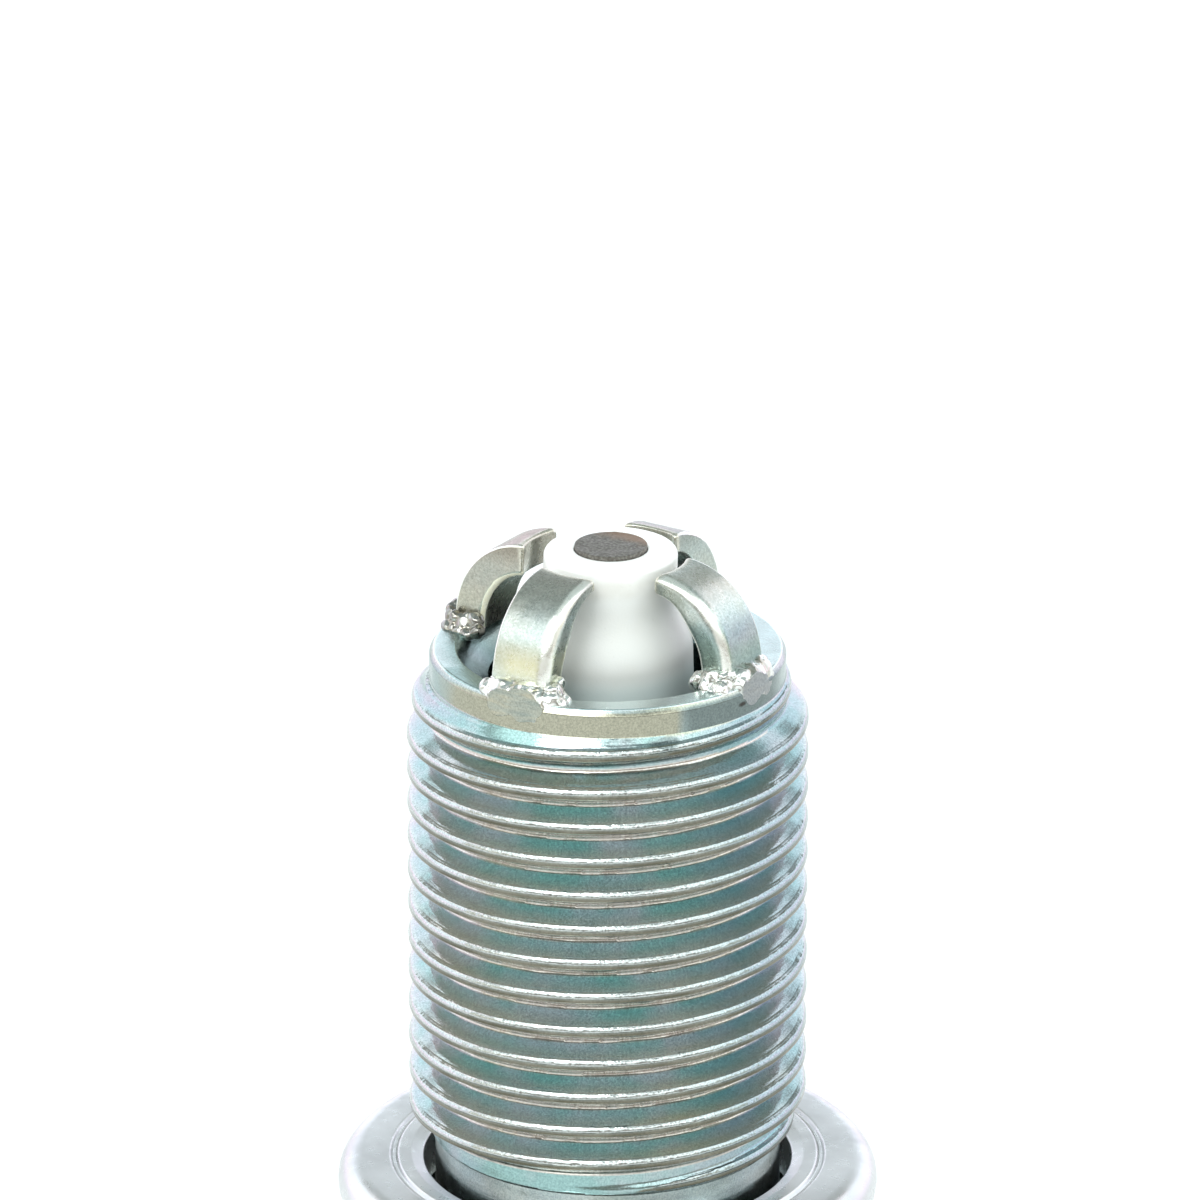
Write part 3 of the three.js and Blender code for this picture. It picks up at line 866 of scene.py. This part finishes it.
def center_electrode():
    tip, low = CENTER_HIGH.z, CENTER_LOW.z
    outside = rounded(
        [
            (CORE, low),
            (1.95, low, 0.1),
            (1.95, 1.4, 0.1),
            (SHEATH, 2.1, 0.2),
            (SHEATH, tip, 0.07),
            (SHEATH - 0.1, tip),
        ]
    )
    face = [(SHEATH - 0.09 - 0.1 * k, tip) for k in range(1, 11)] + [(0, tip)]
    inside = [(0, END + 1.25), (CORE, END + 1.25), (CORE, low)]
    points, faces = joined(lathe(outside + face, 144), lathe(inside, 144))
    for i in np.flatnonzero(points[:, 2] > tip - 0.02):
        here = Vector(points[i])
        wave = noise.noise(here * 2.2) * 0.02 + noise.noise(here * 7.0) * 0.008
        points[i, 2] -= 0.026 + wave
    piece = finish_mesh("center_electrode_body", leaning(points), faces, sharp_angle=60)
    present(piece, "plug", "nickel_dark", ELECTRODE, "center_electrode")


# ---- ground electrodes ----

STRAP_WIDTH = 2.2
STRAP_THICKNESS = 1.2
FOOT = 5.65  # radius of the outer face at the foot
STRAP_TIP = 2.45
RISE = 3.45
STRAP_LENGTH = 3.9
INNER_ROUNDING = 0.24
TIP_ROUNDING = 0.1
ACROSS_STEPS, DEPTH_STEPS = 32, 20
CELLS = list(np.ndindex(ACROSS_STEPS + 1, DEPTH_STEPS + 1))
RIM = [(i, 0) for i in range(ACROSS_STEPS + 1)]
RIM += [(ACROSS_STEPS, k) for k in range(1, DEPTH_STEPS + 1)]
RIM += [(i, DEPTH_STEPS) for i in range(ACROSS_STEPS - 1, -1, -1)]
RIM += [(0, k) for k in range(DEPTH_STEPS - 1, 0, -1)]
STATIONS = [*np.linspace(0, 0.968, 60), 0.975, 0.981, 0.987, 0.992, 0.996, 0.999, 1.0]

# one entry for each strap
OUTER_ROUNDING = ((0.12, 0.44), (0.44, 0.12), (0.2, 0.2), (0.2, 0.12))  # at -y and +y
TIP_TAPER = (0.62, 0.4, 0.38, 0.05)  # share of the thickness that is lost at the tip
TIP_CUTS = (2.65, 2.78, 2.88, 3.0)  # radius of the round cut at the tip
STRAW = (1.0, 0.25, 0.4, 0.3)  # how strong the tint near the foot is
GREY_TIP = (0.7, 0.1, 0.7, 0.8)  # how grey the tip is
WARM = (0.0, 0.0, 0.0, 0.6)  # how much browner and darker it is
BLUE_SHADE = (0.0, 1.0, 0.5, 0.0)  # how far it is darkened to a bluish grey, a painted shade; the second strap only at its leg


def strap_line(t):
    """The strap's outer face, as radius and height over the end face, and its direction."""
    ends = (FOOT, 0), (FOOT, 0.53 * RISE), (FOOT - 1.05, RISE - 0.06), (STRAP_TIP, RISE)
    a, b, c, d = np.array(ends, float)
    s = 1 - t
    point = s**3 * a + 3 * s * s * t * b + 3 * s * t * t * c + t**3 * d
    along = 3 * s * s * (b - a) + 6 * s * t * (c - b) + 3 * t * t * (d - c)
    return point, along / np.linalg.norm(along)


def strap_point(t, across, depth):
    """A point of the strap: across its width, and depth inward from its outer face."""
    point, along = strap_line(t)
    outward = np.array([along[1], -along[0]])
    radial, height = point - outward * depth
    return np.array([radial, across, height])


def crowded(step, steps):
    """Steps from -1 to 1, closer together at both ends."""
    share = step / steps - 0.5
    return math.sin(share * math.pi) * 0.5 + share


def strap_section(outer_rounding):
    """A rounded rectangle as a grid of (across, depth, edge), its rim following the round corners.

    edge is 1 on the round long edges and 0 on the flats."""
    half, middle = STRAP_WIDTH / 2, STRAP_THICKNESS / 2
    grid = np.zeros((ACROSS_STEPS + 1, DEPTH_STEPS + 1, 3))
    for i, k in CELLS:
        x, y = crowded(i, ACROSS_STEPS) * half, crowded(k, DEPTH_STEPS) * middle
        rounding = outer_rounding[int(x > 0)] if y < 0 else INNER_ROUNDING
        over = np.array([max(abs(x) - half + rounding, 0), max(abs(y) - middle + rounding, 0)])
        if over.all():
            over = over * max(over) / np.linalg.norm(over)
            x = math.copysign(half - rounding + over[0], x)
            y = math.copysign(middle - rounding + over[1], y)
        grid[i, k] = (x, y + middle, min(over) / rounding)
    grid[:, :, 2] /= grid[:, :, 2].max()
    return grid


def clipped_t(across, depth, cut):
    """Where the strap's line at this place of its section meets the round cut at the tip."""
    low, high = 0.5, 1.0
    for _ in range(30):
        middle = (low + high) / 2
        if math.hypot(*strap_point(middle, across, depth)[:2]) > cut:
            low = middle
        else:
            high = middle
    return low


def ground_electrode(index, turn):
    strap = index - 1
    section = strap_section(OUTER_ROUNDING[strap])
    tip_t = {cell: clipped_t(*section[cell][:2], TIP_CUTS[strap]) for cell in CELLS}
    seed = Vector((index * 3.7, index * 1.3, 0))
    half, middle = STRAP_WIDTH / 2, STRAP_THICKNESS / 2

    def place(cell, share):
        left = min((1 - share) * STRAP_LENGTH, TIP_ROUNDING)
        inset = TIP_ROUNDING - math.sqrt(max(0.0, TIP_ROUNDING**2 - (TIP_ROUNDING - left) ** 2))
        across, depth, _edge = section[cell]
        across *= 1 - inset / half
        depth = middle + (depth - middle) * (1 - inset / middle)
        depth *= 1 - TIP_TAPER[strap] * soft_step(share, 0.45, 1.0)
        point = strap_point(tip_t[cell] * share, across, depth)
        sway = noise.noise(Vector(point) * 1.3 + seed) * 0.022 * min(1, share * 8)
        return point + np.array([0, sway, sway * 0.5])

    spots = [(cell, share) for share in STATIONS for cell in RIM]
    faces = grid_faces(len(STATIONS), len(RIM), True)
    # the round cut at the tip and the foot's underside are grids that share the rim's points
    for share in (1.0, 0.0):
        sheet = np.array(grid_faces(ACROSS_STEPS + 1, DEPTH_STEPS + 1, False)) + len(spots)
        faces += sheet.tolist()
        spots += [(cell, share) for cell in CELLS]
    points = turned(np.array([place(*spot) for spot in spots]) + (0, 0, END + 0.02), turn)
    rim = set(RIM)
    edge = np.array([section[cell][2] if cell in rim else 0 for cell, _share in spots])
    inner = np.array([section[cell][1] > middle for cell, _share in spots])
    leg = 1 - soft_step(points[:, 2] - END, 1.5, 2.5) if index == 2 else 1
    marks = {
        "edge": edge,
        "cut": soft_step(np.array([share for _cell, share in spots]), 0.955, 0.985),
        "straw": STRAW[strap],
        "tip": GREY_TIP[strap],
        "warm": WARM[strap],
        "blue_shade": leg * BLUE_SHADE[strap],
        "inner_edge_highlight": inner * edge * (index == 4),
    }
    piece = finish_mesh(f"ground_electrode_{index}_strap", points, faces, marks, sharp_angle=70)
    present(piece, "plug", "nickel_strap", STRAP, f"ground_electrode_{index}")


def turned(points, turn):
    """Points turned about the plug's axis."""
    x, y, z = points.T
    cos, sin = math.cos(turn), math.sin(turn)
    return np.stack([x * cos - y * sin, x * sin + y * cos, z], axis=-1)


# ---- welds ----

# Runs of lumps for each weld, as (start, end, lumps, radius, out, height). start and end are
# places along the foot's outline: 0 to 1 on the -y side, 1 to 2 over the outer face, 2 to 3 on the
# +y side. out is the distance from the outline, and height is over the shell's end face.
WELD_RUNS = {
    1: [
        (1.15, 1.85, 8, 0.62, 0.0, -0.12), (2.0, 2.7, 3, 0.42, 0.14, 0.08),
        (2.1, 2.6, 2, 0.3, 0.46, -0.02), (2.1, 2.9, 3, 0.22, 0.12, 0.42),
        (0.3, 1.0, 3, 0.36, 0.05, 0.0),
    ],
    2: [
        (0.0, 1.0, 4, 0.38, 0.08, 0.1), (0.3, 1.1, 3, 0.3, 0.36, 0.0),
        (0.3, 1.1, 4, 0.2, 0.12, 0.46), (1.2, 1.9, 8, 0.6, -0.02, -0.2),
        (2.0, 2.8, 3, 0.32, 0.06, 0.05),
    ],
    3: [
        (0.1, 1.0, 4, 0.34, 0.08, 0.1), (1.0, 2.0, 6, 0.33, 0.06, 0.1),
        (2.0, 2.9, 4, 0.34, 0.08, 0.1), (0.4, 2.6, 8, 0.22, 0.28, 0.0),
    ],
    4: [
        (2.0, 3.1, 4, 0.33, 0.14, 0.26), (1.9, 3.2, 5, 0.28, 0.4, -0.02),
        (1.4, 2.1, 3, 0.37, 0.14, 0.18), (1.6, 2.3, 3, 0.24, 0.36, -0.12),
        (0.3, 1.4, 5, 0.32, 0.06, 0.05),
    ],
}
WELD_DARKNESS = (0.0, 0.1, 0.9, 1.0)  # how dark each weld is
WELD_REACH = PLAIN_RADIUS + 0.012  # the flash outside the straps is ground flush with the shell
FOOT_DEPTH = 1.1
VOXEL = 0.035
CREASE = 0.07  # how near to a second lump the surface counts as a crease


def foot_outline(place, out):
    """The point at a distance out from the foot's outline, at a place along it from 0 to 3."""
    half, depth = STRAP_WIDTH / 2, FOOT_DEPTH
    if place < 1:
        return FOOT - depth * (1 - place), -half - out
    if place < 2:
        return FOOT + out, half * (2 * place - 3)
    return FOOT - depth * (place - 2), half + out


def weld_lumps(index):
    """Centres and radii of a weld's lumps, a little out of line and unequal in size."""
    chance = random.Random(100 + index)
    lumps = []
    for start, end, count, radius, out, height in WELD_RUNS[index]:
        for k in range(count):
            place = start + (end - start) * (k + chance.uniform(0.2, 0.8)) / count
            x, y = foot_outline(place, out + chance.uniform(-0.3, 0.3) * min(radius, 0.3))
            z = height + chance.uniform(-0.25, 0.25) * min(radius, 0.3)
            lumps.append((x, y, z, radius * chance.uniform(0.8, 1.2)))
    return np.array(lumps)


def fused_lumps(lumps, chance):
    """Points, normals and faces of squashed lumps that a voxel remesh has fused."""
    work = bmesh.new()
    for x, y, z, radius in lumps:
        squash = Matrix.Diagonal([radius * MM * chance.uniform(0.8, 1.25) for _axis in range(3)])
        tilt = Matrix.Rotation(chance.uniform(-0.7, 0.7), 4, "X")
        tilt = tilt @ Matrix.Rotation(chance.uniform(0, 3), 4, "Z")
        place = Matrix.Translation(Vector((x, y, z)) * MM) @ tilt @ squash.to_4x4()
        bmesh.ops.create_icosphere(work, subdivisions=3, radius=1, matrix=place)
    mesh = bpy.data.meshes.new("weld_lumps")
    work.to_mesh(mesh)
    work.free()
    rough = new_object("weld_lumps", mesh)
    fuse = rough.modifiers.new("fuse", "REMESH")
    fuse.mode = "VOXEL"
    fuse.voxel_size = VOXEL * MM
    soften = rough.modifiers.new("soften", "SMOOTH")
    soften.factor = 0.5
    soften.iterations = 11
    graph = bpy.context.evaluated_depsgraph_get()
    fused = bpy.data.meshes.new_from_object(rough.evaluated_get(graph))
    bpy.data.objects.remove(rough)
    points = np.array([v.co for v in fused.vertices]) / MM
    normals = np.array([v.normal for v in fused.vertices])
    faces = [tuple(p.vertices) for p in fused.polygons]
    bpy.data.meshes.remove(fused)
    return points, normals, faces


def ground_weld(index, turn):
    """Flash round the foot, with painted shade where its lumps meet, and ground flush outside the
    strap.
    """
    lumps = weld_lumps(index)
    points, normals, faces = fused_lumps(lumps, random.Random(200 + index))
    gaps = np.linalg.norm(points[:, None] - lumps[None, :, :3], axis=2) - lumps[None, :, 3]
    gaps = np.partition(gaps, 1, axis=1)
    crease_shade = np.clip(1 - (gaps[:, 1] - gaps[:, 0]) / CREASE, 0, 1)
    seed = Vector((index * 5.1, 2.3, 7.7))
    swell = [
        noise.noise(Vector(p) * 2.1 + seed) * 0.1 + noise.noise(Vector(p) * 5.3) * 0.04
        for p in points
    ]
    points += normals * np.array(swell)[:, None]
    points[:, 2] += END
    radius = np.hypot(points[:, 0], points[:, 1])
    points[:, :2] *= np.minimum(1, WELD_REACH / radius)[:, None]
    ground = soft_step(radius, WELD_REACH - 0.06, WELD_REACH + 0.01)
    marks = {
        "crease_shade": crease_shade * (1 - ground),
        "ground": ground,
        "dark_weld": WELD_DARKNESS[index - 1],
        "blue_shade": ground * (index == 2) * 0.75,
    }
    piece = finish_mesh(f"ground_weld_{index}_flash", turned(points, turn), faces, marks)
    present(piece, "plug", "weld", WELD, f"ground_weld_{index}")


# ---- terminal end ----

SCREW_PITCH = 0.7
SCREW_MAJOR = 1.95
SCREW_ROOT = 1.55
SHANK = 1.4
SHANK_TOP = -19.1


def terminal_stud():
    low, high, top = STUD_LOW.z, STUD_HIGH.z, INSULATOR_LOW.z + 0.6

    def envelope(heights):
        return np.minimum(SCREW_ROOT + (heights - low) * 0.9 + 0.02, SCREW_MAJOR)

    size = (low, top, SCREW_PITCH, low + 1.0, SCREW_MAJOR, SCREW_ROOT, 0.05, 0.05, 0.05)
    screw = thread(size, envelope, columns=120)
    tail = lathe([(0, low), (SCREW_ROOT, low)], 120)
    shank = lathe_rounded(
        (SCREW_ROOT, top),
        (SCREW_MAJOR, top + 0.2, 0.05),
        (SCREW_MAJOR, SHANK_TOP - 0.3, 0.1),
        (SHANK, SHANK_TOP, 0.1),
        (SHANK, high, 0.1),
        (0, high),
        columns=120,
    )
    points, faces = joined(tail, screw, shank)
    piece = finish_mesh("terminal_stud_screw", points, faces, sharp_angle=50)
    present(piece, "plug", "nickel_steel", NICKEL_STEEL, "terminal_stud")


def terminal_nut():
    low, high = NUT_LOW.z, NUT_HIGH.z
    radius, waist, bore = 3.17, 2.6, 2.1
    points, faces = lathe_rounded(
        (0, low),
        (radius - 0.9, low, 0.25),
        (radius, low + 0.75, 0.7),
        (radius, low + 2.6, 0.35),
        (waist, low + 3.35, 0.5),
        (waist, low + 4.45, 0.5),
        (radius, low + 5.2, 0.35),
        (radius, high, 0.3),
        (bore + 0.35, high, 0.06),
        (bore, high - 0.3, 0.1),
        (bore, STUD_LOW.z - 0.5, 0.1),
        (0, STUD_LOW.z - 0.8),
        steps=8,
    )
    piece = finish_mesh("terminal_nut_body", points, faces, sharp_angle=60)
    present(piece, "nut", "nickel_steel", NICKEL_STEEL, "terminal_nut")


def gasket():
    """A crush washer folded from sheet: round outside, with the fold's seam on its faces."""
    low, high = GASKET_LOW.z, GASKET_HIGH.z
    inner, middle, bulge = 6.45, (low + high) / 2, (high - low) / 2
    fold = GASKET_HIGH.x - bulge * 0.9
    lower = rounded(
        [
            (inner, middle),
            (inner, low + 0.12, 0.1),
            (6.9, low, 0.3),
            (7.35, low, 0.1),
            (7.5, low + 0.22, 0.1),
            (7.65, low + 0.02, 0.1),
            (fold, low + 0.02),
        ]
    )[:-1]
    outside = [
        (fold + bulge * 0.9 * math.cos(a), middle + (bulge - 0.02) * math.sin(a))
        for a in np.linspace(-math.pi / 2, math.pi / 2, 22)
    ]
    upper = [(radius, low + high - z) for radius, z in reversed(lower)]
    points, faces = lathe(lower + outside + upper, 216)
    piece = finish_mesh("gasket_washer", points, faces, sharp_angle=60)
    present(piece, "washer", "gasket_steel", GASKET_STEEL, "gasket")


def sealed_pieces():
    """Inner CAD nodes keep their shape and get their own materials."""
    for node, material in {
        "center_electrode_core": COPPER,
        "lower_glass_seal": GLASS,
        "resistor": CARBON,
        "upper_glass_seal": GLASS,
        "front_packing": COPPER,
        "front_wire_ring": GASKET_STEEL,
        "talc_fill": TALC,
        "rear_wire_ring": GASKET_STEEL,
    }.items():
        slots = frame["nodes"][node].data.materials
        slots.clear()
        slots.append(material)


shell()
insulator()
center_electrode()
for number in range(1, 5):
    quarter = (number - 2) * math.pi / 2
    ground_electrode(number, quarter)
    ground_weld(number, quarter)
terminal_stud()
terminal_nut()
gasket()
sealed_pieces()

# ---- studio ----

VIEW_AZIMUTH = math.radians(33)
VIEW_ELEVATION = math.radians(21.26)
VIEW_DISTANCE = 345
FRAME_WIDTH = 41.37  # what the picture spans at the end face
FRAME_SHIFT = (-0.267, 1.568)  # the picture's middle from the end face's, rightward and upward
FLOOR_HALF = 1500


def floor():
    low, half = cad_bounds[0].z, FLOOR_HALF * MM
    corners = [(-half, -half, low), (half, -half, low), (half, half, low), (-half, half, low)]
    mesh = bpy.data.meshes.new("floor")
    mesh.from_pydata(corners, [], [(0, 1, 2, 3)])
    plane = new_object("floor", mesh)
    m = Material("floor_white")
    paint = m.ramp(m.noise(6, 2), (0.3, (0.9, 0.9, 0.895)), (0.7, (0.92, 0.92, 0.915)))
    m.set(Base_Color=paint, Roughness=0.9)
    plane.data.materials.append(m.material)


def world():
    """A soft studio seen from the plug: azimuths count from the camera's side to its right."""
    studio = bpy.data.worlds.new("studio")
    bpy.context.scene.world = studio
    studio.use_nodes = True
    n = Nodes(studio.node_tree)
    place = n.add("ShaderNodeTexCoord").outputs["Generated"]
    about_z = {"rotation_type": "Z_AXIS"}
    spun = n.add("ShaderNodeVectorRotate", about_z, Vector=place, Angle=-VIEW_AZIMUTH)
    split = n.add("ShaderNodeSeparateXYZ", Vector=spun.outputs["Vector"])
    ahead = n.times(split.outputs["Y"], -1.0)
    azimuth = n.times(n.math("ARCTAN2", split.outputs["X"], ahead), math.degrees(1))
    elevation = n.times(n.math("ARCSINE", split.outputs["Z"]), math.degrees(1))
    sideways = n.math("ABSOLUTE", azimuth)
    light = n.ramp(
        n.span(elevation, -10, 90),
        (0.1, (0.62, 0.6, 0.57)),
        (0.2, (0.42, 0.4, 0.36)),
        (0.4, (0.44, 0.45, 0.43)),
        (0.6, (0.48, 0.57, 0.57)),
        (1.0, (0.46, 0.56, 0.56)),
    )
    backdrop = n.ramp(
        n.span(elevation, 0, 40),
        (0.1, (1.6, 1.4, 1.62)),
        (0.3, (1.5, 1.56, 1.76)),
        (0.6, (1.42, 1.64, 1.72)),
        (0.9, (1.9, 1.78, 1.86)),
    )
    # what each panel is placed by, its low end, high end and softness round and up, its colour
    panels = (
        (sideways, (56, 92, 8), (-14, 26, 7), (0.98, 0.97, 0.86)),
        (sideways, (88, 146, 6), (-12, 42, 4), backdrop),
        (sideways, (138, 181, 5), (-12, 25, 2), backdrop),
        (azimuth, (-80, 92, 10), (22, 64, 6), (2.0, 2.15, 2.15)),
        (azimuth, (-8, 52, 6), (46, 56, 2), (0.34, 0.4, 0.41)),
    )
    for around, across, up, colour in panels:
        mask = n.times(n.window(around, *across), n.window(elevation, *up))
        light = n.mix(mask, light, colour)
    back = n.tree.nodes["Background"]
    n.plug(back.inputs["Color"], light)
    back.inputs["Strength"].default_value = 1.0


def direction(azimuth, elevation):
    """The unit vector from the plug to an azimuth and an elevation."""
    flat = math.cos(elevation)
    return Vector((math.sin(azimuth) * flat, -math.cos(azimuth) * flat, math.sin(elevation)))


def key_light():
    data = bpy.data.lights.new("key", "AREA")
    data.shape = "RECTANGLE"
    data.size, data.size_y = 0.28, 0.22
    data.energy = 1.0
    lamp = new_object("key", data)
    toward = direction(math.radians(5), math.radians(50))
    lamp.location = Vector((0, 0, END * MM)) + toward * 0.55
    lamp.rotation_euler = (-toward).to_track_quat("-Z", "Y").to_euler()


def camera():
    """A lens at the photograph's angle and distance, the firing end in the upper part."""
    data = bpy.data.cameras.new("camera")
    lens = new_object("camera", data)
    data.sensor_width = 36
    data.lens = data.sensor_width * VIEW_DISTANCE / FRAME_WIDTH
    data.clip_start = 0.01
    data.clip_end = 20
    side = Vector((math.cos(VIEW_AZIMUTH), math.sin(VIEW_AZIMUTH), 0))
    toward = direction(VIEW_AZIMUTH, VIEW_ELEVATION)
    seen = Vector((0, 0, END * MM))
    middle = seen + (side * FRAME_SHIFT[0] + toward.cross(side) * FRAME_SHIFT[1]) * MM
    lens.location = seen + toward * VIEW_DISTANCE * MM
    lens.rotation_euler = (middle - lens.location).to_track_quat("-Z", "Y").to_euler()
    bpy.context.scene.camera = lens


floor()
world()
key_light()
camera()

bpy.context.scene.view_settings.view_transform = "Standard"
bpy.context.scene.view_settings.look = "None"
